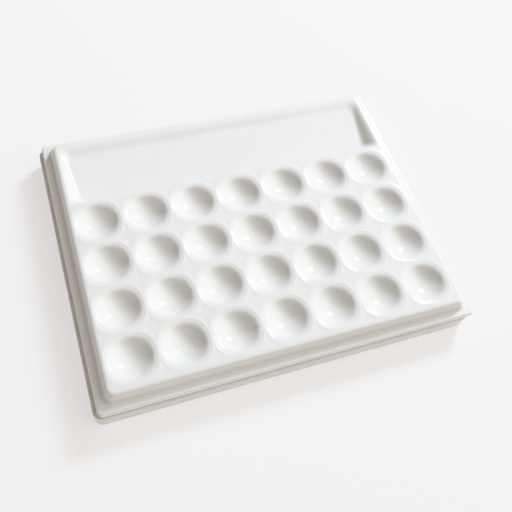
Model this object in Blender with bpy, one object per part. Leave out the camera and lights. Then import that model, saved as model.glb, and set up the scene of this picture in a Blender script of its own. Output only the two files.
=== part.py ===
"""A rectangular porcelain mixing palette standing on its own upturned cover.

Two fired pieces. The palette has four rows of round paint wells, one long mixing trough
along the back, and a raised deck with a ledge all round it. The cover is a shallow tray.
Turned over, its rim sits on that ledge and closes the palette. Upright, it lies under
the palette as a base. Metres, +Z up, +X along the rows, +Y towards the trough.
"""

import math

import bmesh
import bpy
from mathutils import Matrix, Vector

MM = 0.001

# The grid of wells
WELL_COLUMNS = 7
WELL_ROWS = 4
WELL_PITCH = 29.4 * MM
WELL_DEPTH = 6.2 * MM
WELL_SPHERE_RADIUS = 14.7 * MM
WELL_RIM_FILLET = 2.0 * MM
WELL_SEGMENTS = 16
WELL_ARC_STEPS = 3
WELL_FILLET_STEPS = 2
WELLS_FRONT_MARGIN = 17.9 * MM
WELLS_SIDE_OFFSET = -1.0 * MM

# The raised deck and the ledge round it
DECK_LENGTH = 211.0 * MM
DECK_WIDTH = 168.5 * MM
DECK_CORNER_RADIUS = 4.5 * MM
DECK_EDGE_ROUND = 1.8 * MM
DECK_RISE = 6.5 * MM
DECK_WALL_DRAFT = 2.2 * MM
LEDGE_WIDTH = 6.7 * MM
LEDGE_THICKNESS = 3.4 * MM
LEDGE_EDGE_ROUND = 1.0 * MM
LEDGE_CORNER_RADIUS = 3.4 * MM

# The fired wall and the hollow under the deck
WALL = 3.2 * MM
DECK_THICKNESS = 3.6 * MM
FOOT_WIDTH = 6.0 * MM
HOLLOW_CORNER_RADIUS = 4.0 * MM

# The mixing trough: its floor slopes down from the back to the wells
TROUGH_LENGTH = 202.4 * MM
TROUGH_WIDTH = 41.5 * MM
TROUGH_BACK_MARGIN = 5.5 * MM
TROUGH_BACK_DEPTH = 1.8 * MM
TROUGH_FRONT_DEPTH = 6.5 * MM
TROUGH_WALL_SLOPE = 0.85
TROUGH_CORNER_ROUND = 4.5 * MM
TROUGH_FLOOR_ROUND = 1.8 * MM

# The cover, lying upturned under the palette
COVER_LENGTH = DECK_LENGTH + 2 * LEDGE_WIDTH
COVER_WIDTH = DECK_WIDTH + 2 * LEDGE_WIDTH
COVER_HEIGHT = 12.2 * MM
COVER_WALL = 3.9 * MM
COVER_FLOOR = 4.0 * MM
COVER_CORNER_RADIUS = 5.0 * MM
COVER_EDGE_ROUND = 2.4 * MM
COVER_RIM_ROUND = 0.8 * MM
COVER_INNER_CORNER_RADIUS = 3.0 * MM
COVER_INNER_EDGE_ROUND = 2.0 * MM

# How the two pieces lie: the palette sits a little to the right and back of its cover.
PIECE_GAP = 0.3 * MM
PALETTE_OFFSET = Vector((1.1 * MM, 0.2 * MM, COVER_HEIGHT + PIECE_GAP))
COVER_OFFSET = Vector((-1.1 * MM, -0.2 * MM, 0.0))

# Heights inside the palette, from its underside
LEDGE_TOP = LEDGE_THICKNESS
DECK_TOP = LEDGE_THICKNESS + DECK_RISE
CORNER_SEGMENTS = 6
EDGE_SEGMENTS = 2
CUT_CLEARANCE = 4.0 * MM

COLLECTION = "mixing_palette"
CUTTER_COLLECTION = "mixing_palette_cutters"


def clear_scene():
    """Removes whatever the scene holds."""
    for obj in list(bpy.data.objects):
        bpy.data.objects.remove(obj, do_unlink=True)


def new_collection(name):
    """A collection linked to the scene."""
    collection = bpy.data.collections.new(name)
    bpy.context.scene.collection.children.link(collection)
    return collection


def glaze_material(name, colour, roughness):
    """A glossy white glaze."""
    material = bpy.data.materials.new(name)
    material.use_nodes = True
    shader = material.node_tree.nodes["Principled BSDF"]
    shader.inputs["Base Color"].default_value = (*colour, 1.0)
    shader.inputs["Roughness"].default_value = roughness
    shader.inputs["Metallic"].default_value = 0.0
    return material


def add_object(name, mesh_data, collection, location=(0.0, 0.0, 0.0)):
    """An object made from a bmesh, at its place."""
    mesh = bpy.data.meshes.new(name)
    bmesh.ops.recalc_face_normals(mesh_data, faces=mesh_data.faces)
    mesh_data.to_mesh(mesh)
    mesh_data.free()
    obj = bpy.data.objects.new(name, mesh)
    obj.location = location
    collection.objects.link(obj)
    return obj


def add_helper(name, mesh_data, collection, parent):
    """A cutter or a piece to be joined: it follows its piece and isn't rendered."""
    obj = add_object(name, mesh_data, collection)
    obj.parent = parent
    obj.hide_render = True
    obj.display_type = "WIRE"
    return obj


def add_boolean(obj, helper, operation):
    """A Boolean modifier on the piece."""
    modifier = obj.modifiers.new(helper.name, "BOOLEAN")
    modifier.operation = operation
    modifier.solver = "EXACT"
    modifier.object = helper


def shade(obj, angle=math.radians(35)):
    """Smooth shading with sharp edges where the surface really turns."""
    obj.data.shade_smooth()
    obj.data.set_sharp_from_angle(angle=angle)


def upright_edges(mesh_data):
    """The edges that run from the bottom to the top of a block."""
    return [
        edge
        for edge in mesh_data.edges
        if abs(edge.verts[0].co.z - edge.verts[1].co.z) > edge.calc_length() / 2
    ]


def level_edges(mesh_data, height):
    """The edges that lie at one height."""
    return [
        edge
        for edge in mesh_data.edges
        if all(abs(vert.co.z - height) < 0.01 * MM for vert in edge.verts)
    ]


def round_edges(mesh_data, edges, radius, segments):
    """Rounds edges off."""
    bmesh.ops.bevel(
        mesh_data,
        geom=edges,
        offset=radius,
        offset_type="OFFSET",
        segments=segments,
        profile=0.5,
        affect="EDGES",
        clamp_overlap=True,
    )


def block(length, width, bottom, top, centre_y=0.0):
    """A box between two heights."""
    mesh_data = bmesh.new()
    place = Matrix.Translation((0.0, centre_y, (bottom + top) / 2))
    size = Matrix.Diagonal((length, width, top - bottom, 1.0))
    bmesh.ops.create_cube(mesh_data, size=1.0, matrix=place @ size)
    return mesh_data


def rounded_block(length, width, bottom, top, corner_radius, top_round=0.0, bottom_round=0.0, spread=0.0):
    """A box with rounded corners and, where asked, rounded top and bottom edges.

    Its foot lies outside its top by the spread.
    """
    mesh_data = block(length, width, bottom, top)
    round_edges(mesh_data, upright_edges(mesh_data), corner_radius, CORNER_SEGMENTS)
    for vert in mesh_data.verts:
        if abs(vert.co.z - bottom) < 0.01 * MM:
            vert.co.x += math.copysign(spread, vert.co.x)
            vert.co.y += math.copysign(spread, vert.co.y)
    for height, radius in ((top, top_round), (bottom, bottom_round)):
        if radius > 0.0:
            round_edges(mesh_data, level_edges(mesh_data, height), radius, EDGE_SEGMENTS)
    return mesh_data


def well_centres():
    """The middle of each well on the deck, row by row from the front."""
    first_x = WELLS_SIDE_OFFSET - (WELL_COLUMNS - 1) / 2 * WELL_PITCH
    first_y = -DECK_WIDTH / 2 + WELLS_FRONT_MARGIN
    for row in range(WELL_ROWS):
        for column in range(WELL_COLUMNS):
            yield first_x + column * WELL_PITCH, first_y + row * WELL_PITCH


def sphere_height():
    """How high the centre of a well's sphere lies above the deck."""
    return WELL_SPHERE_RADIUS - WELL_DEPTH


def well_profile():
    """Radius and height of a well's hollow from its lowest point to above the deck.

    A spherical bowl, then a round rim that meets the bowl and the deck smoothly.
    """
    fillet_out = math.sqrt(
        (WELL_SPHERE_RADIUS + WELL_RIM_FILLET) ** 2 - (sphere_height() + WELL_RIM_FILLET) ** 2
    )
    bowl_end = math.atan2(fillet_out, sphere_height() + WELL_RIM_FILLET)
    points = []
    for step in range(WELL_ARC_STEPS + 1):
        angle = bowl_end * step / WELL_ARC_STEPS
        points.append(
            (
                WELL_SPHERE_RADIUS * math.sin(angle),
                DECK_TOP + sphere_height() - WELL_SPHERE_RADIUS * math.cos(angle),
            )
        )
    for step in range(1, WELL_FILLET_STEPS + 1):
        angle = bowl_end * (1 - step / WELL_FILLET_STEPS)
        points.append(
            (
                fillet_out - WELL_RIM_FILLET * math.sin(angle),
                DECK_TOP - WELL_RIM_FILLET * (1 - math.cos(angle)),
            )
        )
    points.append((fillet_out, DECK_TOP + CUT_CLEARANCE))
    return points


def bowl_back_profile():
    """Radius and height of the underside of a well, ending inside the deck."""
    radius = WELL_SPHERE_RADIUS + WALL
    end_height = DECK_TOP - DECK_THICKNESS / 2
    centre_height = DECK_TOP + sphere_height()
    last_angle = math.acos((centre_height - end_height) / radius)
    return [
        (
            radius * math.sin(last_angle * step / WELL_ARC_STEPS),
            centre_height - radius * math.cos(last_angle * step / WELL_ARC_STEPS),
        )
        for step in range(WELL_ARC_STEPS + 1)
    ]


def turned_body(mesh_data, profile, centre_x, centre_y):
    """Adds a solid of revolution that starts at the axis and is closed flat on top."""
    pole = mesh_data.verts.new((centre_x, centre_y, profile[0][1]))
    rings = []
    for radius, height in profile[1:]:
        ring = bmesh.ops.create_circle(
            mesh_data,
            segments=WELL_SEGMENTS,
            radius=radius,
            matrix=Matrix.Translation((centre_x, centre_y, height)),
        )
        rings.append(ring["verts"])
    for index in range(WELL_SEGMENTS):
        following = (index + 1) % WELL_SEGMENTS
        mesh_data.faces.new((pole, rings[0][index], rings[0][following]))
        for lower, upper in zip(rings, rings[1:]):
            mesh_data.faces.new((lower[index], lower[following], upper[following], upper[index]))
    mesh_data.faces.new(rings[-1])


def turned_bodies(profile):
    """The same turned body at every well."""
    mesh_data = bmesh.new()
    for centre_x, centre_y in well_centres():
        turned_body(mesh_data, profile, centre_x, centre_y)
    return mesh_data


def trough_body(outset, top):
    """The trough's hollow, or its outside when outset is the wall thickness.

    The walls lean outwards and the floor slopes down towards the wells.
    """
    mesh_data = bmesh.new()
    bmesh.ops.create_cube(mesh_data, size=2.0)
    centre_y = DECK_WIDTH / 2 - TROUGH_BACK_MARGIN - TROUGH_WIDTH / 2
    for vert in mesh_data.verts:
        side_x, side_y, side_z = vert.co
        floor_depth = TROUGH_BACK_DEPTH if side_y > 0 else TROUGH_FRONT_DEPTH
        height = top if side_z > 0 else DECK_TOP - floor_depth - outset
        lean = TROUGH_WALL_SLOPE * (height - DECK_TOP)
        vert.co.x = side_x * (TROUGH_LENGTH / 2 + lean + outset)
        vert.co.y = centre_y + side_y * (TROUGH_WIDTH / 2 + lean + outset)
        vert.co.z = height
    round_edges(mesh_data, upright_edges(mesh_data), TROUGH_CORNER_ROUND, CORNER_SEGMENTS // 2)
    floor = min(mesh_data.faces, key=lambda face: face.calc_center_median().z)
    round_edges(mesh_data, list(floor.edges), TROUGH_FLOOR_ROUND, EDGE_SEGMENTS)
    return mesh_data


def make_palette(collection, cutters):
    """The palette: deck and ledge, hollow below, with the wells and the trough let into it."""
    palette = add_object(
        "palette",
        rounded_block(
            DECK_LENGTH,
            DECK_WIDTH,
            0.0,
            DECK_TOP,
            DECK_CORNER_RADIUS,
            DECK_EDGE_ROUND,
            spread=DECK_WALL_DRAFT * DECK_TOP / DECK_RISE,
        ),
        collection,
        PALETTE_OFFSET,
    )
    ledge = rounded_block(
        DECK_LENGTH + 2 * LEDGE_WIDTH,
        DECK_WIDTH + 2 * LEDGE_WIDTH,
        0.0,
        LEDGE_TOP,
        LEDGE_CORNER_RADIUS,
        LEDGE_EDGE_ROUND,
        LEDGE_EDGE_ROUND,
    )
    underside = rounded_block(
        DECK_LENGTH - 2 * FOOT_WIDTH,
        DECK_WIDTH - 2 * FOOT_WIDTH,
        -CUT_CLEARANCE,
        DECK_TOP - DECK_THICKNESS,
        HOLLOW_CORNER_RADIUS,
    )
    trough_back = trough_body(WALL, DECK_TOP - DECK_THICKNESS / 2)
    steps = (
        ("ledge", ledge, "UNION"),
        ("underside_hollow", underside, "DIFFERENCE"),
        ("bowl_backs", turned_bodies(bowl_back_profile()), "UNION"),
        ("trough_back", trough_back, "UNION"),
        ("well_hollows", turned_bodies(well_profile()), "DIFFERENCE"),
        ("trough_hollow", trough_body(0.0, DECK_TOP + CUT_CLEARANCE), "DIFFERENCE"),
    )
    for name, mesh_data, operation in steps:
        add_boolean(palette, add_helper(name, mesh_data, cutters, palette), operation)
    palette.data.materials.append(glaze_material("palette_glaze", (0.85, 0.85, 0.82), 0.12))
    shade(palette)
    return palette


def make_cover(collection, cutters):
    """The cover: a shallow tray, lying with its open side up."""
    cover = add_object(
        "cover",
        rounded_block(
            COVER_LENGTH,
            COVER_WIDTH,
            0.0,
            COVER_HEIGHT,
            COVER_CORNER_RADIUS,
            COVER_RIM_ROUND,
            COVER_EDGE_ROUND,
        ),
        collection,
        COVER_OFFSET,
    )
    inside = rounded_block(
        COVER_LENGTH - 2 * COVER_WALL,
        COVER_WIDTH - 2 * COVER_WALL,
        COVER_FLOOR,
        COVER_HEIGHT + CUT_CLEARANCE,
        COVER_INNER_CORNER_RADIUS,
        bottom_round=COVER_INNER_EDGE_ROUND,
    )
    add_boolean(cover, add_helper("cover_inside", inside, cutters, cover), "DIFFERENCE")
    cover.data.materials.append(glaze_material("cover_glaze", (0.83, 0.83, 0.79), 0.14))
    shade(cover)
    return cover


def main():
    """Builds the two pieces."""
    clear_scene()
    collection = new_collection(COLLECTION)
    cutters = new_collection(CUTTER_COLLECTION)
    make_cover(collection, cutters)
    make_palette(collection, cutters)


main()
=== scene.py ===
import math

import bpy
import numpy as np
from mathutils import Matrix, Vector


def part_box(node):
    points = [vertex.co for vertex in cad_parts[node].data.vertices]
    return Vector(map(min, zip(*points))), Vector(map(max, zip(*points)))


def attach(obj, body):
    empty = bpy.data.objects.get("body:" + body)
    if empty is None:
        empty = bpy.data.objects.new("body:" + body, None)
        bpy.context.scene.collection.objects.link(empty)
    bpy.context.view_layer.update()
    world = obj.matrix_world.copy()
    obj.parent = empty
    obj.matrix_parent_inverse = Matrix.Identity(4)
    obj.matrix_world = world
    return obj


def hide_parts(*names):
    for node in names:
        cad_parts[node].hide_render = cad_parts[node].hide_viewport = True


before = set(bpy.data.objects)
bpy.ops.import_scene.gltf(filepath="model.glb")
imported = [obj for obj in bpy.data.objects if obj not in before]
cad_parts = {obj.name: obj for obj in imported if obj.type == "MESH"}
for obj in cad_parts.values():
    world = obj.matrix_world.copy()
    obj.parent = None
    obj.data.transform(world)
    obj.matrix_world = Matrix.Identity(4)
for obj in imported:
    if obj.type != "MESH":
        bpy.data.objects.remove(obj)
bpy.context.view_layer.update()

MM = 0.001

# ---------------------------------------------------------------- dimensions, in millimetres
PITCH = 29.4                  # the grid of wells
COLUMNS, ROWS = 7, 4
GRID_LEFT = 1.0               # the middle column lies this far left of the palette's middle
GRID_FRONT = 17.9             # deck's front edge to the front row
BOWL_RADIUS = 14.7
BOWL_DEPTH = 6.2
BOWL_OUTLINE = 13.67          # half the width of a well over its rim, which is a soft square
BOWL_SQUARENESS = 2.6

LEDGE_WIDTH = 6.7
LEDGE_TOP = 3.4
DECK_TOP = 9.9
DECK_DRAFT = 2.2              # the foot of the deck's wall lies this far outside its top
DECK_FILLET = 3.2
COVE_RADIUS = 1.3

TROUGH_LENGTH, TROUGH_WIDTH = 202.4, 41.5
TROUGH_BACK_MARGIN = 5.5
TROUGH_BACK_DEPTH, TROUGH_FRONT_DEPTH = 1.9, 6.5
TROUGH_SLOPE = 0.85           # how far the walls lean per millimetre of depth
TROUGH_RIGHT_SLOPE = 1.05     # the same at the right end
TROUGH_BACK_SLOPE = 1.5       # the same at the back
TROUGH_CORNER = 5.0
TROUGH_FLOOR_ROUND = 1.5
TROUGH_LIP_ROUND = 1.8

WALL = 3.2                    # thickness of the fired wall under the bowls and the trough
DECK_THICKNESS = 3.6
FOOT_WIDTH = 6.0
UNDERSIDE_ROUND = 1.5
COVER_FLOOR = 4.0
COVER_WALL = 3.9
COVER_EDGE_ROUND = 2.4
COVER_DRAFT = 0.2             # the foot of the cover's inner wall lies this far inside its top
COVER_INNER_ROUND = 2.2
COVER_RIM_ROUND, COVER_INNER_RIM_ROUND = 1.0, 0.9

FAR = 99.0                    # stands for any place outside the bowls


# ---------------------------------------------------------------- meshes made of rings and grids
def plan_grid(cells_x, cells_y, corner_cells, half_x, half_y, radius):
    """A grid that fills a rounded rectangle, its corner squares pressed into quarter discs."""

    def axis(cells, half):
        """Place along the straight part, and how far past it, from -1 to 1."""
        step = np.arange(cells + 2 * corner_cells + 1)
        straight = (np.clip((step - corner_cells) / cells, 0, 1) * 2 - 1) * (half - radius)
        before = np.minimum(step - corner_cells, 0)
        after = np.maximum(step - corner_cells - cells, 0)
        return straight, (before + after) / corner_cells

    straight_x, over_x = axis(cells_x, half_x)
    straight_y, over_y = axis(cells_y, half_y)
    across, along = np.meshgrid(over_x, over_y, indexing="ij")
    x = straight_x[:, None] + radius * across * np.sqrt(1 - along**2 / 2)
    y = straight_y[None, :] + radius * along * np.sqrt(1 - across**2 / 2)
    return x, y


def edge_walk(grid):
    """The grid's outermost entries, once round, counter-clockwise from the front left."""
    return np.concatenate([grid[:-1, 0], grid[-1, :-1], grid[:0:-1, -1], grid[0, :0:-1]])


class Surface:
    """Points and faces of one closed surface, gathered grid by grid and ring by ring.

    Each point also has traits, which its material reads: how far its glaze is turned to a warmer,
    darker tone, from 0 to 1, which stands for pooled glaze and for painted shade, and in
    millimetres how far it lies from the middle of its bowl and outside the bowl's rim.
    """

    def __init__(self):
        self.points, self.faces, self.slots, self.count = [], [], [], 0
        self.traits = {"pooled": [], "bowl_distance": [], "past_rim": []}

    def add_points(self, x, y, z, pooled=0.0, bowl_distance=FAR, past_rim=FAR):
        made = np.stack([np.ravel(x), np.ravel(y), np.ravel(z)], 1)
        self.points.append(made)
        values = {"pooled": pooled, "bowl_distance": bowl_distance, "past_rim": past_rim}
        for name, value in values.items():
            self.traits[name].append(np.ravel(np.broadcast_to(value, np.shape(x))))
        index = np.arange(self.count, self.count + len(made)).reshape(np.shape(x))
        self.count += len(made)
        return index

    def add_faces(self, corners, slot):
        self.faces.extend(corners.tolist())
        self.slots.extend([slot] * len(corners))

    def add_grid(self, x, y, z, up, slot=0, **traits):
        """A sheet of quads that faces up or down. It returns the points round its edge."""
        index = self.add_points(x, y, z, **traits)
        a, b, c, d = index[:-1, :-1], index[1:, :-1], index[1:, 1:], index[:-1, 1:]
        order = (a, b, c, d) if up else (d, c, b, a)
        self.add_faces(np.stack([part.ravel() for part in order], 1), slot)
        return edge_walk(index)

    def add_ring(self, x, y, z, ring, slot=0, flip=False, **traits):
        """A band of quads from the ring before to a new ring with as many points."""
        index = self.add_points(x, y, z, **traits)
        following, after = np.roll(ring, -1), np.roll(index, -1)
        order = (ring, index, after, following)
        self.add_faces(np.stack(order[::-1] if flip else order, 1), slot)
        return index

    def join_finer(self, fine, coarse, slot=0):
        """Closes a fine ring onto a coarse one that has half as many points."""
        following = np.roll(coarse, -1)
        corners = (fine[0::2], coarse, following, np.roll(fine, -2)[0::2], fine[1::2])
        self.add_faces(np.stack(corners, 1), slot)

    def all_points(self):
        """Every point so far, in the order of their numbers."""
        return np.concatenate(self.points)


def arc(centre_out, centre_up, radius, start, end, steps):
    """Points of an arc as (out, up). Angle 0 is straight up and 90 is outwards."""
    angles = np.radians(np.linspace(start, end, steps + 1))
    return [
        (centre_out + radius * math.sin(angle), centre_up + radius * math.cos(angle))
        for angle in angles
    ]


# ---------------------------------------------------------------- shape of the palette's top
def smooth_min(a, b, width):
    """The lower of the two, with a round joint where they cross."""
    overlap = np.maximum(width - np.abs(a - b), 0)
    return np.minimum(a, b) - overlap**2 / (4 * width)


def smooth_max(a, b, width):
    """The higher of the two, with a round joint where they cross."""
    return -smooth_min(-a, -b, width)


def from_nearest_well(x, y, deck_half_y):
    """How far right of and behind the nearest well's middle each point is."""
    front = -deck_half_y + GRID_FRONT
    column = np.clip(np.round((x + GRID_LEFT) / PITCH), -(COLUMNS // 2), COLUMNS // 2)
    row = np.clip(np.round((y - front) / PITCH), 0, ROWS - 1)
    return x + GRID_LEFT - column * PITCH, y - front - row * PITCH


def rim_distance(dx, dy):
    """Distance from a well's middle, and how far out its rim lies in that direction.

    The rim's outline is a soft square.
    """
    distance = np.hypot(dx, dy) + 1e-9
    power = BOWL_SQUARENESS
    squareness = (np.abs(dx / distance) ** power + np.abs(dy / distance) ** power) ** (1 / power)
    return distance, BOWL_OUTLINE / squareness


def bowl_height(x, y, deck_half_y):
    """Height of the nearest bowl's surface against the deck: a sphere and a round rim.

    The rim's round is wider towards the corners of its soft square.
    """
    distance, outline = rim_distance(*from_nearest_well(x, y, deck_half_y))
    centre = BOWL_RADIUS - BOWL_DEPTH
    fillet = (outline**2 - BOWL_RADIUS**2 + centre**2) / (2 * (BOWL_RADIUS - centre))
    turn = np.arccos((centre + fillet) / (BOWL_RADIUS + fillet))
    bowl = centre - np.sqrt(np.maximum(BOWL_RADIUS**2 - distance**2, 0))
    inside = np.clip(outline - distance, 0, fillet)
    rim = np.sqrt(np.maximum(fillet**2 - inside**2, 0)) - fillet
    height = np.where(distance < BOWL_RADIUS * np.sin(turn), bowl, rim)
    return np.where(distance < outline, height, 0.0)


def trough_depth(x, y, deck_half_y, outset=0.0):
    """Depth of the mixing trough under the deck, above 0 inside it and below 0 outside."""
    middle = deck_half_y - TROUGH_BACK_MARGIN - TROUGH_WIDTH / 2
    side_x = TROUGH_LENGTH / 2 + outset - np.abs(x)
    side_y = TROUGH_WIDTH / 2 + outset - np.abs(y - middle)
    end = side_x / np.where(x > 0, TROUGH_RIGHT_SLOPE, TROUGH_SLOPE)
    side = side_y / np.where(y > middle, TROUGH_BACK_SLOPE, TROUGH_SLOPE)
    wall = smooth_min(end, side, TROUGH_CORNER)
    along = np.clip((y - middle) / TROUGH_WIDTH + 0.5, 0, 1)
    floor = TROUGH_FRONT_DEPTH + (TROUGH_BACK_DEPTH - TROUGH_FRONT_DEPTH) * along
    return smooth_min(wall, floor, TROUGH_FLOOR_ROUND)


def deck_height(x, y, deck_half_y):
    """Height of the top against the deck: 0, and below it in the bowls and the trough."""
    trough = smooth_max(trough_depth(x, y, deck_half_y), np.zeros_like(x), TROUGH_LIP_ROUND)
    return bowl_height(x, y, deck_half_y) - trough


def underside_height(x, y, deck_half_y):
    """Height of the underside: flat, with the backs of the bowls and of the trough."""
    distance = np.hypot(*from_nearest_well(x, y, deck_half_y))
    outer = BOWL_RADIUS + WALL
    bowl = BOWL_RADIUS - BOWL_DEPTH - np.sqrt(np.maximum(outer**2 - distance**2, 1.0))
    trough = -WALL - trough_depth(x, y, deck_half_y, WALL)
    backs = smooth_min(bowl, trough, UNDERSIDE_ROUND)
    return DECK_TOP + smooth_min(backs, np.full_like(x, -DECK_THICKNESS), UNDERSIDE_ROUND)


def fit_to_box(points, low, high):
    """Brings the points into the piece's box, side by side."""
    start, end = points.min(axis=0), points.max(axis=0)
    return low + (points - start) * ((high - low) / (end - start))


WAVES = ((150.0, 1.0), (70.0, 0.5), (33.0, 0.22))    # length and share of the wander's waves
WAVES_OF_EACH = 3


def smooth_wander(points, amount, seed):
    """A sum of a few slow waves in different directions, as large as the amount."""
    rng = np.random.default_rng(seed)
    total = np.zeros_like(points)
    for size, share in WAVES:
        for _ in range(WAVES_OF_EACH):
            direction = rng.normal(size=3)
            direction /= np.linalg.norm(direction)
            push = rng.normal(size=3)
            phase = rng.uniform(0, 2 * math.pi)
            wave = np.sin(points @ direction * (2 * math.pi / size) + phase)
            total += wave[:, None] * push * (amount * share / WAVES_OF_EACH)
    return total


def make_object(name, surface, low, high, materials, seed, wander):
    """A mesh object that fills the CAD piece's box."""
    points = surface.all_points()
    points = fit_to_box(points + smooth_wander(points, wander, seed), low, high)
    mesh = bpy.data.meshes.new(name)
    mesh.from_pydata((points * MM).tolist(), [], surface.faces)
    mesh.polygons.foreach_set("material_index", surface.slots)
    mesh.shade_smooth()
    for material in materials:
        mesh.materials.append(material)
    for title, values in surface.traits.items():
        trait = mesh.attributes.new(title, "FLOAT", "POINT")
        trait.data.foreach_set("value", np.concatenate(values))
    mesh.update()
    obj = bpy.data.objects.new(name, mesh)
    bpy.context.scene.collection.objects.link(obj)
    return obj


# ---------------------------------------------------------------- the palette
GLAZE, BISCUIT = 0, 1
CELL = 0.85                   # size of the top's quads
CORNER_CELLS = 4
LEDGE_ROUND, LEDGE_LOWER_ROUND = 1.2, 0.5
FOOT_ROUND, HOLLOW_ROUND = 0.8, 1.5
PALETTE_WANDER, PALETTE_SEED = 0.1, 3

# The palette's corner radius, by distance outside the deck's edge
CORNER_PLACES = (-13, -6.0, -1.9, 0, DECK_DRAFT, 5.6, LEDGE_WIDTH)
CORNER_RADII = (2.5, 4.0, 2.7, 4.5, 4.5, 2.4, 3.4)


def palette_profile():
    """(out, up, material) from the deck's edge down over the ledge and under to the hollow."""
    rise = DECK_TOP - LEDGE_TOP
    lean = math.degrees(math.atan2(rise, DECK_DRAFT))
    half_turn = math.tan(math.radians(lean) / 2)
    top = arc(-DECK_FILLET * half_turn, DECK_TOP - DECK_FILLET, DECK_FILLET, 0, lean, 7)
    cove = arc(DECK_DRAFT + COVE_RADIUS * half_turn, LEDGE_TOP + COVE_RADIUS, COVE_RADIUS,
               180 + lean, 180, 5)
    wall_steps = [
        tuple(np.array(top[-1]) * (1 - share) + np.array(cove[0]) * share)
        for share in (0.2, 0.5, 0.8)
    ]
    outer = arc(LEDGE_WIDTH - LEDGE_ROUND, LEDGE_TOP - LEDGE_ROUND, LEDGE_ROUND, 0, 90, 5)
    lower = arc(LEDGE_WIDTH - LEDGE_LOWER_ROUND, LEDGE_LOWER_ROUND, LEDGE_LOWER_ROUND, 90, 180, 4)
    foot = [(LEDGE_WIDTH - 3.5, 0.0), (0.0, 0.0), (-FOOT_WIDTH + 1.0, 0.0)]
    inner = arc(-FOOT_WIDTH + FOOT_ROUND, FOOT_ROUND, FOOT_ROUND, 180, 270, 3)
    hollow_top = DECK_TOP - DECK_THICKNESS
    ceiling = arc(-FOOT_WIDTH - HOLLOW_ROUND, hollow_top - HOLLOW_ROUND, HOLLOW_ROUND, 90, 0, 4)
    glazed = top[1:] + wall_steps + cove + [(4.6, LEDGE_TOP)] + outer + lower
    bare = foot + inner
    return (
        [(*point, GLAZE) for point in glazed]
        + [(*point, BISCUIT) for point in bare]
        + [(*point, GLAZE) for point in ceiling]
    )


# How thick the glaze pooled on the palette's outside, by height
# How far the palette's outside is turned to the warm darker tone, by height: pooled glaze, and
# painted shade on the deck's wall and on the ledge's outer side
POOLED_AND_SHADE_HEIGHTS = (1.0, 2.6, 3.4, 3.8, 5.0, 7.5, DECK_TOP)
POOLED_AND_SHADE_AMOUNTS = (0.8, 0.3, 0.05, 0.5, 0.9, 0.7, 0.0)
# How far the deepest point of a bowl and of the trough is turned to that tone: pooled glaze and
# painted shade in the hollows
POOLED_AND_SHADE_IN_BOWL, POOLED_AND_SHADE_IN_TROUGH = 0.34, 0.04
POOLED_AND_SHADE_POWER = 1.5           # how quickly the tone and its painted shade grow with depth


def make_palette(materials):
    """The palette: its top and underside as grids, joined by rings round its edge."""
    low, high = (np.array(corner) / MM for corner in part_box("palette"))
    half_x, half_y = (high - low)[:2] / 2 - LEDGE_WIDTH
    edge = palette_profile()
    inset = DECK_FILLET * math.tan(math.atan2(DECK_TOP - LEDGE_TOP, DECK_DRAFT) / 2)
    cells_x = 2 * round((half_x - inset) / CELL)
    cells_y = 2 * round((half_y - inset) / CELL)

    def plan(out, share=1):
        radius = float(np.interp(out, CORNER_PLACES, CORNER_RADII))
        return plan_grid(cells_x // share, cells_y // share, CORNER_CELLS // share,
                         half_x + out, half_y + out, radius)

    surface = Surface()
    x, y = plan(-inset)
    height = deck_height(x, y, half_y)
    distance, outline = rim_distance(*from_nearest_well(x, y, half_y))
    # Pooled glaze and painted shade: the bowls and the trough grow darker and warmer with depth.
    deepest_pooled_and_shade = np.where(distance < outline, POOLED_AND_SHADE_IN_BOWL, POOLED_AND_SHADE_IN_TROUGH)
    pooled = deepest_pooled_and_shade * np.clip(-height / BOWL_DEPTH, 0, 1) ** POOLED_AND_SHADE_POWER
    ring = surface.add_grid(x, y, DECK_TOP + height, up=True, pooled=pooled,
                            bowl_distance=distance, past_rim=distance - outline)
    for out, up, slot in edge:
        x, y = (edge_walk(part) for part in plan(out))
        # Painted shade, with pooled glaze: the outside's walls are made darker and warmer by
        # height.
        pooled = np.interp(up, POOLED_AND_SHADE_HEIGHTS, POOLED_AND_SHADE_AMOUNTS)
        ring = surface.add_ring(x, y, np.full_like(x, up), ring, slot, pooled=pooled)
    x, y = plan(edge[-1][0] - 1.0, share=2)
    height = underside_height(x, y, half_y)
    coarse = surface.add_grid(x, y, height, up=False)
    surface.join_finer(ring, coarse)
    return make_object("palette_body", surface, low, high, materials,
                       PALETTE_SEED, PALETTE_WANDER)


# ---------------------------------------------------------------- the cover
COVER_CELL = 2.4
COVER_CORNER_CELLS = 4
COVER_WANDER, COVER_SEED = 0.06, 8
COVER_LIFT = 0.26             # the cover's rim rises this far towards the palette's ledge

# How far the cover's outer side is turned to its warm darker tone, by height: pooled glaze and
# painted shade
COVER_POOLED_AND_SHADE_HEIGHTS = (0.0, 2.0, 5.0, 8.5, 11.0, 12.5)
COVER_POOLED_AND_SHADE_AMOUNTS = (1.1, 1.05, 0.7, 0.75, 1.0, 1.1)


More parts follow.
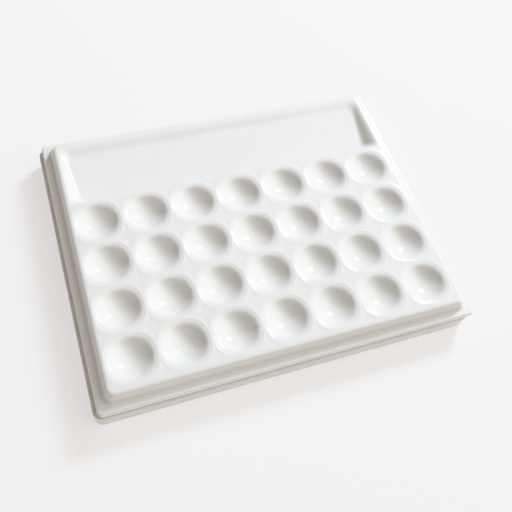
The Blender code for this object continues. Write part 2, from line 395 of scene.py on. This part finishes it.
def cover_profile(height):
    """(out, up, material) from the flat back's edge round the wall to the inside's floor."""
    inside = -COVER_WALL - COVER_DRAFT
    back = arc(-COVER_EDGE_ROUND, COVER_EDGE_ROUND, COVER_EDGE_ROUND, 180, 90, 6)
    wall = [(0.0, height * share) for share in (0.35, 0.5, 0.65, 0.8)]
    rim = arc(-COVER_RIM_ROUND, height - COVER_RIM_ROUND, COVER_RIM_ROUND, 90, 0, 4)
    inner_rim = arc(-COVER_WALL + COVER_INNER_RIM_ROUND, height - COVER_INNER_RIM_ROUND,
                    COVER_INNER_RIM_ROUND, 0, -90, 4)
    inner = [(-COVER_WALL - COVER_DRAFT / 2, height * 0.75), (inside, height * 0.6)]
    floor = arc(inside - COVER_INNER_ROUND, COVER_FLOOR + COVER_INNER_ROUND, COVER_INNER_ROUND,
                90, 180, 6)
    return (
        [(*point, GLAZE) for point in back[1:] + wall + rim[:-1]]
        + [(*point, BISCUIT) for point in rim[-1:] + inner_rim[:2]]
        + [(*point, GLAZE) for point in inner_rim[2:] + inner + floor]
    )


# The cover's corner radius, by distance outside its wall
COVER_CORNER_PLACES = (-6.3, -COVER_WALL, -COVER_EDGE_ROUND, 0)
COVER_CORNER_RADII = (1.7, 3.2, 2.8, 5.0)


def make_cover(materials):
    """The cover: a flat back, rings round the wall and its rim, and the inside's floor."""
    low, high = (np.array(corner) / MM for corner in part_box("cover"))
    half_x, half_y, half_z = (high - low) / 2
    cells_x = 2 * round((half_x - COVER_EDGE_ROUND) / COVER_CELL)
    cells_y = 2 * round((half_y - COVER_EDGE_ROUND) / COVER_CELL)

    def plan(out):
        radius = float(np.interp(out, COVER_CORNER_PLACES, COVER_CORNER_RADII))
        return plan_grid(cells_x, cells_y, COVER_CORNER_CELLS, half_x + out, half_y + out, radius)

    surface = Surface()
    x, y = plan(-COVER_EDGE_ROUND)
    ring = surface.add_grid(x, y, np.zeros_like(x), up=False)
    for out, up, slot in cover_profile(2 * half_z):
        x, y = (edge_walk(part) for part in plan(out))
        outside = out > -COVER_WALL / 2
        # Painted shade, with pooled glaze, on the cover's outer side only.
        pooled = np.interp(up, COVER_POOLED_AND_SHADE_HEIGHTS, COVER_POOLED_AND_SHADE_AMOUNTS) if outside else 0.0
        height = np.full_like(x, up)
        ring = surface.add_ring(x, y, height, ring, slot, flip=True, pooled=pooled)
    x, y = plan(-COVER_WALL - COVER_DRAFT - COVER_INNER_ROUND - 0.6)
    inside = surface.add_grid(x, y, np.full_like(x, COVER_FLOOR), up=True)
    surface.add_faces(
        np.stack([np.roll(inside, -1), inside, ring, np.roll(ring, -1)], 1), GLAZE
    )
    high[2] += COVER_LIFT
    return make_object("cover_body", surface, low, high, materials, COVER_SEED, COVER_WANDER)


# ---------------------------------------------------------------- materials
class Nodes:
    """The node tree of a material or of the world: it adds nodes and links them."""

    def __init__(self, data, shader):
        self.data = data
        data.use_nodes = True
        self.tree = data.node_tree
        self.shader = self.tree.nodes[shader]

    def add(self, kind, inputs, output=0, **settings):
        """A node with its settings and inputs. It returns one of its outputs."""
        node = self.tree.nodes.new("ShaderNode" + kind)
        for name, value in settings.items():
            setattr(node, name, value)
        for key, value in inputs.items():
            self.put(node.inputs[key], value)
        return node.outputs[output]

    def put(self, socket, value):
        """Links an output to the socket, or sets the socket's own value."""
        if isinstance(value, bpy.types.NodeSocket):
            self.tree.links.new(value, socket)
        else:
            socket.default_value = value

    def math(self, operation, *values):
        """A Math node's result."""
        return self.add("Math", dict(enumerate(values)), operation=operation)

    def mix(self, factor, first, second):
        """A colour between two, by factor."""
        inputs = {"Factor": factor, 6: first, 7: second}
        return self.add("Mix", inputs, output=2, data_type="RGBA")

    def ramp(self, value, low, high):
        """0 up to low, 1 from high on, and smooth between. With high below low it falls."""
        inputs = {"Value": value, "From Min": low, "From Max": high}
        return self.add("MapRange", inputs, interpolation_type="SMOOTHSTEP")

    def noise(self, place, size, detail=2.0, roughness=0.5):
        """Noise with features about this large, in millimetres."""
        inputs = {"Vector": place, "Scale": 1 / (size * MM), "Detail": detail}
        return self.add("TexNoise", {**inputs, "Roughness": roughness})

    def place(self):
        """The point's place on the object, in metres."""
        return self.add("TexCoord", {}, output=3)

    def trait(self, name):
        """One of the surface's traits."""
        return self.add("Attribute", {}, output=2, attribute_name=name)

    def bump(self, height, depth, before=None, invert=False):
        """The normal that a height gives, where 1 stands for this many millimetres."""
        inputs = {"Height": height, "Distance": depth * MM}
        if before:
            inputs["Normal"] = before
        return self.add("Bump", inputs, invert=invert)

    def specks(self, place, spacing, radius, share):
        """1 on small round specks and 0 elsewhere: a share of the cells this far apart hold one."""
        node = self.add("TexVoronoi", {"Vector": place, "Scale": 1 / (spacing * MM)}).node
        near = self.math("LESS_THAN", node.outputs["Distance"], radius / spacing)
        chosen = self.add("SeparateColor", {"Color": node.outputs["Color"]})
        return self.math("MULTIPLY", near, self.math("LESS_THAN", chosen, share))


WHITE, CLOUDED = (0.895, 0.895, 0.885, 1), (0.875, 0.876, 0.862, 1)
# Warm darker tone of pooled glaze and painted shade on the palette
POOLED_AND_SHADE_TONE = (0.79, 0.765, 0.69, 1)
# The same for the cover's outer side: pooled glaze and painted shade
COVER_POOLED_AND_SHADE_TONE = (0.67, 0.633, 0.585, 1)
SPECK = (0.42, 0.36, 0.29, 1)
BODY, BODY_STAIN = (0.80, 0.765, 0.70, 1), (0.70, 0.66, 0.59, 1)
RING_SPACING = 1.45           # the turned rings left in each bowl, in millimetres
RING_DEPTH = 0.034
LIP_HEIGHT = 0.125            # the glaze stands up this much round each bowl
PEEL_DEPTH = 0.03
PINHOLE_DEPTH = 0.03
GRAIN_DEPTH = 0.05
GLAZE_IOR = 1.52
GLAZE_ROUGHNESS, GLAZE_ROUGHER = 0.09, 0.05      # the second is added where it is duller
BODY_ROUGHNESS, BODY_ROUGHER = 0.7, 0.15


def glaze_material(name, pooled_tone):
    """White glaze: cloudy and a little specked, warmer and darker where it pooled and where shade
    is painted on its walls and in its hollows, wavy as it set.

    Turned rings show through it in the bowls.
    """
    made = Nodes(bpy.data.materials.new(name), "Principled BSDF")
    place = made.place()
    clouds = made.ramp(made.noise(place, 38, 3), 0.35, 0.65)
    colour = made.mix(clouds, WHITE, CLOUDED)
    streaks = made.noise(place, 9, 4, 0.6)
    # Pooled glaze and painted shade: the trait, broken up by streaks, turns the colour to the warm
    # darker tone.
    amount = made.math("MULTIPLY", made.trait("pooled"), made.math("ADD", streaks, 0.45))
    colour = made.mix(amount, colour, pooled_tone)
    colour = made.mix(made.specks(place, 7.0, 0.2, 0.16), colour, SPECK)
    made.put(made.shader.inputs["Base Color"], colour)

    patches = made.ramp(made.noise(place, 14, 4), 0.3, 0.75)
    roughness = made.math("MULTIPLY_ADD", patches, GLAZE_ROUGHER, GLAZE_ROUGHNESS)
    made.put(made.shader.inputs["Roughness"], roughness)

    # The rings fade out at the bowl's middle and towards its rim.
    distance = made.trait("bowl_distance")
    drift = made.math("MULTIPLY", made.noise(place, 8, 2), 1.2)
    turn = made.math("MULTIPLY", made.math("ADD", distance, drift), 2 * math.pi / RING_SPACING)
    inside = made.math("MULTIPLY", made.ramp(distance, 0.5, 4.0), made.ramp(distance, 12.0, 9.5))
    strength = made.math("MULTIPLY", inside, made.ramp(made.noise(place, 11, 2), 0.3, 0.7))
    rings = made.math("MULTIPLY", made.math("SINE", turn), strength)
    # The lip rises steeply out of the bowl and falls slowly onto the deck.
    past_rim = made.trait("past_rim")
    lip = made.math("MULTIPLY", made.ramp(past_rim, -0.3, 0.4), made.ramp(past_rim, 4.0, 0.4))
    normal = made.bump(rings, RING_DEPTH)
    normal = made.bump(lip, LIP_HEIGHT, normal)
    normal = made.bump(made.noise(place, 2.6, 2), PEEL_DEPTH, normal)
    normal = made.bump(made.specks(place, 5.0, 0.16, 0.2), PINHOLE_DEPTH, normal, invert=True)
    made.put(made.shader.inputs["Normal"], normal)
    made.shader.inputs["IOR"].default_value = GLAZE_IOR
    return made.data


def body_material(name):
    """The bare fired body where the piece stood in the kiln: dry, fine-grained and off-white."""
    made = Nodes(bpy.data.materials.new(name), "Principled BSDF")
    place = made.place()
    stain = made.ramp(made.noise(place, 8, 5, 0.65), 0.4, 0.7)
    colour = made.mix(stain, BODY, BODY_STAIN)
    colour = made.mix(made.specks(place, 2.2, 0.15, 0.2), colour, SPECK)
    made.put(made.shader.inputs["Base Color"], colour)
    roughness = made.math("MULTIPLY_ADD", stain, BODY_ROUGHER, BODY_ROUGHNESS)
    made.put(made.shader.inputs["Roughness"], roughness)
    grain = made.noise(place, 0.5, 3, 0.7)
    made.put(made.shader.inputs["Normal"], made.bump(grain, GRAIN_DEPTH))
    return made.data


bare = body_material("bare_foot")
palette = make_palette([glaze_material("palette_glaze", POOLED_AND_SHADE_TONE), bare])
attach(palette, "paint_palette")
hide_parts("palette")
cover = make_cover([glaze_material("cover_glaze", COVER_POOLED_AND_SHADE_TONE), bare])
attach(cover, "base_cover")
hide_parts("cover")


# ---------------------------------------------------------------- floor, light and camera
FLOOR_REACH = 6.0             # from the middle to the floor's sides, in metres
FLOOR_TONE = (0.45, 0.45, 0.45, 1)
FLOOR_GLOW, FLOOR_GLOW_STRENGTH = (0.995, 0.97, 0.98, 1), 0.535


def make_floor():
    """A plain pale floor. Its own glow keeps it nearly white and its shadows light."""
    mesh = bpy.data.meshes.new("studio_floor")
    signs = ((-1, -1), (1, -1), (1, 1), (-1, 1))
    corners = [(x * FLOOR_REACH, y * FLOOR_REACH, 0) for x, y in signs]
    mesh.from_pydata(corners, [], [(0, 1, 2, 3)])
    floor = bpy.data.objects.new("studio_floor", mesh)
    bpy.context.scene.collection.objects.link(floor)
    made = Nodes(bpy.data.materials.new("studio_floor"), "Principled BSDF")
    made.shader.inputs["Base Color"].default_value = FLOOR_TONE
    made.shader.inputs["Roughness"].default_value = 0.9
    made.shader.inputs["Specular IOR Level"].default_value = 0.0
    made.shader.inputs["Emission Color"].default_value = FLOOR_GLOW
    made.shader.inputs["Emission Strength"].default_value = FLOOR_GLOW_STRENGTH
    mesh.materials.append(made.data)


def away_from(azimuth, elevation):
    """The direction of a place in the studio. Azimuth 0 is behind the object, 90 to its right."""
    turn, rise = math.radians(azimuth), math.radians(elevation)
    level = math.cos(rise)
    return Vector((math.sin(turn) * level, math.cos(turn) * level, math.sin(rise)))


def make_key(azimuth, elevation, distance, width, strength, colour):
    """A round light aimed at the object, whose strength is what reaches the middle."""
    data = bpy.data.lights.new("key", "AREA")
    data.shape, data.size = "DISK", width
    data.energy, data.color = strength * math.pi * distance**2, colour
    light = bpy.data.objects.new("key", data)
    away = away_from(azimuth, elevation)
    light.location = away * distance
    light.rotation_euler = away.to_track_quat("Z", "Y").to_euler()
    bpy.context.scene.collection.objects.link(light)


# Soft light from all round: azimuth, elevation, tightness and colour of each glow.
GLOWS = (
    (-90, 30, 4, (0.58, 0.53, 0.47)),
    (110, 30, 4, (1.9, 1.83, 1.68)),
    (35, 60, 8, (0.45, 0.32, 0.25)),
    (180, 60, 4, (0.22, 0.23, 0.23)),
)
BACKDROP = (0.97, 0.96, 0.955, 1)    # what is seen past the floor's far edge


def make_world():
    """Light from the glows, and a plain pale backdrop where the camera sees past the floor."""
    made = Nodes(bpy.data.worlds.new("studio"), "Background")
    looking = made.add("TexCoord", {})
    total = (0.0, 0.0, 0.0)
    for azimuth, elevation, tightness, colour in GLOWS:
        facing = {0: looking, 1: away_from(azimuth, elevation)}
        cosine = made.add("VectorMath", facing, output=1, operation="DOT_PRODUCT")
        amount = made.math("POWER", made.math("MAXIMUM", cosine, 0.0), float(tightness))
        glow = made.add("VectorMath", {0: colour, "Scale": amount}, operation="SCALE")
        total = made.add("VectorMath", {0: total, 1: glow}, operation="ADD")
    seen = made.add("LightPath", {})
    made.put(made.shader.inputs["Color"], made.mix(seen, total, BACKDROP))
    bpy.context.scene.world = made.data


SHOULDER_START, SHOULDER_ROOM = 0.75, 0.24
SHOULDER_STEP, SHOULDER_POINTS = 0.1, 13


def set_view():
    """Plain colours, with a soft shoulder so that the whites keep their shading."""
    view = bpy.context.scene.view_settings
    view.view_transform = "Standard"
    view.use_curve_mapping = True
    mapping = view.curve_mapping
    mapping.clip_max_x = 2.0
    curve = mapping.curves[3].points
    curve[0].location, curve[1].location = (0.0, 0.0), (SHOULDER_START, SHOULDER_START)
    for step in range(1, SHOULDER_POINTS + 1):
        above = SHOULDER_STEP * step
        gained = SHOULDER_ROOM * (1 - math.exp(-above / SHOULDER_ROOM))
        curve.new(SHOULDER_START + above, SHOULDER_START + gained)
    for point in curve:
        point.handle_type = "AUTO_CLAMPED"
    mapping.update()


# The camera looks down at the object from its front left, a little rolled.
CAMERA_AZIMUTH, CAMERA_ELEVATION, CAMERA_ROLL = 29.07, 58.91, 12.57
CAMERA_PLACE = Vector((-98.6, -193.3, 343.7)) * MM
CAMERA_LENS = 44.83


def make_camera():
    """The photo's camera."""
    data = bpy.data.cameras.new("camera")
    data.lens, data.clip_start, data.clip_end = CAMERA_LENS, 0.01, 50
    camera = bpy.data.objects.new("camera", data)
    turn = (
        Matrix.Rotation(math.radians(-CAMERA_AZIMUTH), 4, "Z")
        @ Matrix.Rotation(math.radians(90 - CAMERA_ELEVATION), 4, "X")
        @ Matrix.Rotation(math.radians(CAMERA_ROLL), 4, "Z")
    )
    camera.matrix_world = Matrix.Translation(CAMERA_PLACE) @ turn
    bpy.context.scene.collection.objects.link(camera)
    bpy.context.scene.camera = camera


make_floor()
make_world()
make_key(azimuth=52, elevation=34.5, distance=1.6, width=0.42, strength=2.65,
         colour=(0.86, 1.0, 1.12))
make_camera()
set_view()
